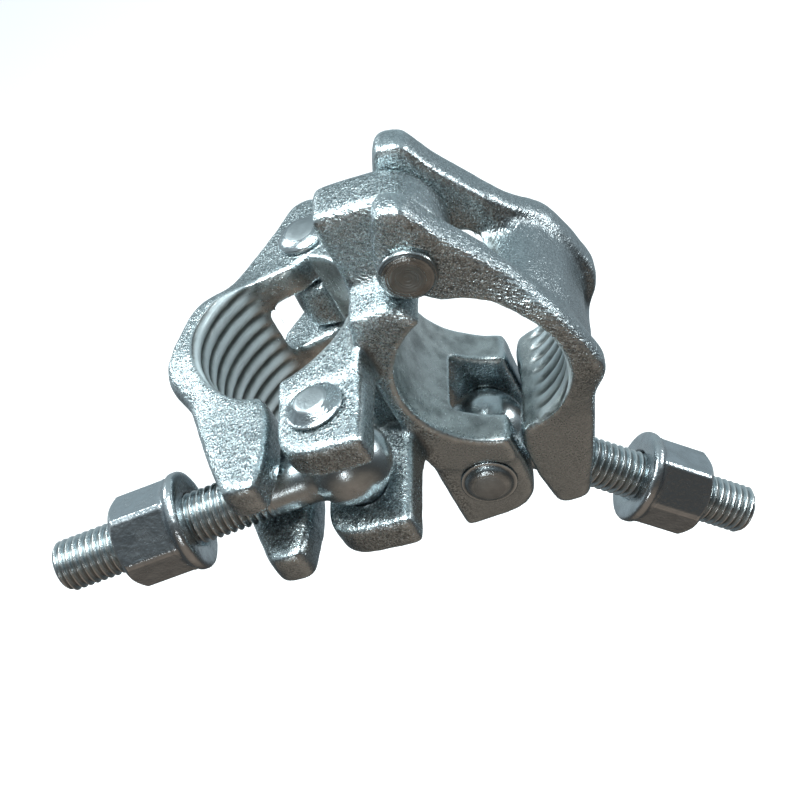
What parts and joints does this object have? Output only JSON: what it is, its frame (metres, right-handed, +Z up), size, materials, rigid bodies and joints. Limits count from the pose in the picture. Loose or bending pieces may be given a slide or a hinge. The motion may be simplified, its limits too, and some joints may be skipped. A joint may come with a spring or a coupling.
{
  "type": "scaffold coupler clamp",
  "caption": "Forged right-angle scaffold coupler: two hinged clamps back to back, each shut by a swinging eye bolt and a flange nut.",
  "frame": {"origin": "on the axis of the upright tube that the left clamp grips, at the middle of the clamp's width", "axes": "+X from the left clamp to the right clamp, +Y along the tube that the right clamp grips, +Z up along the upright tube"},
  "size_m": [0.1679, 0.112, 0.1578],
  "materials": {
    "forging": "zinc coated drop forging, rough",
    "bolt": "bright zinc plate",
    "nut": "bright zinc plate",
    "rivet": "zinc coated, machined head"
  },
  "bodies": {
    "body": {"body": "forging", "left_flap_rivet": "rivet", "right_flap_rivet": "rivet", "left_bolt_rivet": "rivet", "right_bolt_rivet": "rivet"},
    "left_flap": {"left_flap": "forging"},
    "right_flap": {"right_flap": "forging"},
    "left_bolt": {"left_bolt": "bolt"},
    "right_bolt": {"right_bolt": "bolt"},
    "left_nut": {"left_nut": "nut"},
    "right_nut": {"right_nut": "nut"}
  },
  "joints": [
    {"name": "left_flap_hinge", "type": "hinge", "parent": "body", "child": "left_flap", "pos_m": [0.0074, 0.0362, 0], "axis": [0, 0, -1], "range_deg": [0, 64]},
    {"name": "left_bolt_swing", "type": "hinge", "parent": "body", "child": "left_bolt", "pos_m": [0.0152, -0.0378, 0], "axis": [0, 0, 1], "range_deg": [0, 160]},
    {"name": "left_nut_travel", "type": "slide", "parent": "left_bolt", "child": "left_nut", "axis": [-0.9962, -0.0872, 0], "range_m": [-0.005, 0.017]},
    {"name": "right_flap_hinge", "type": "hinge", "parent": "body", "child": "right_flap", "pos_m": [0.0468, 0, 0.0362], "axis": [0, -1, 0], "range_deg": [0, 90]},
    {"name": "right_bolt_swing", "type": "hinge", "parent": "body", "child": "right_bolt", "pos_m": [0.039, 0, -0.0378], "axis": [0, 1, 0], "range_deg": [-45, 110]},
    {"name": "right_nut_travel", "type": "slide", "parent": "right_bolt", "child": "right_nut", "axis": [0.682, 0, -0.7314], "range_m": [-0.006, 0.015]}
  ],
  "couplings": [
    {"joint": "left_bolt_swing", "follows": "left_flap_hinge", "ratio": 2.5}
  ]
}
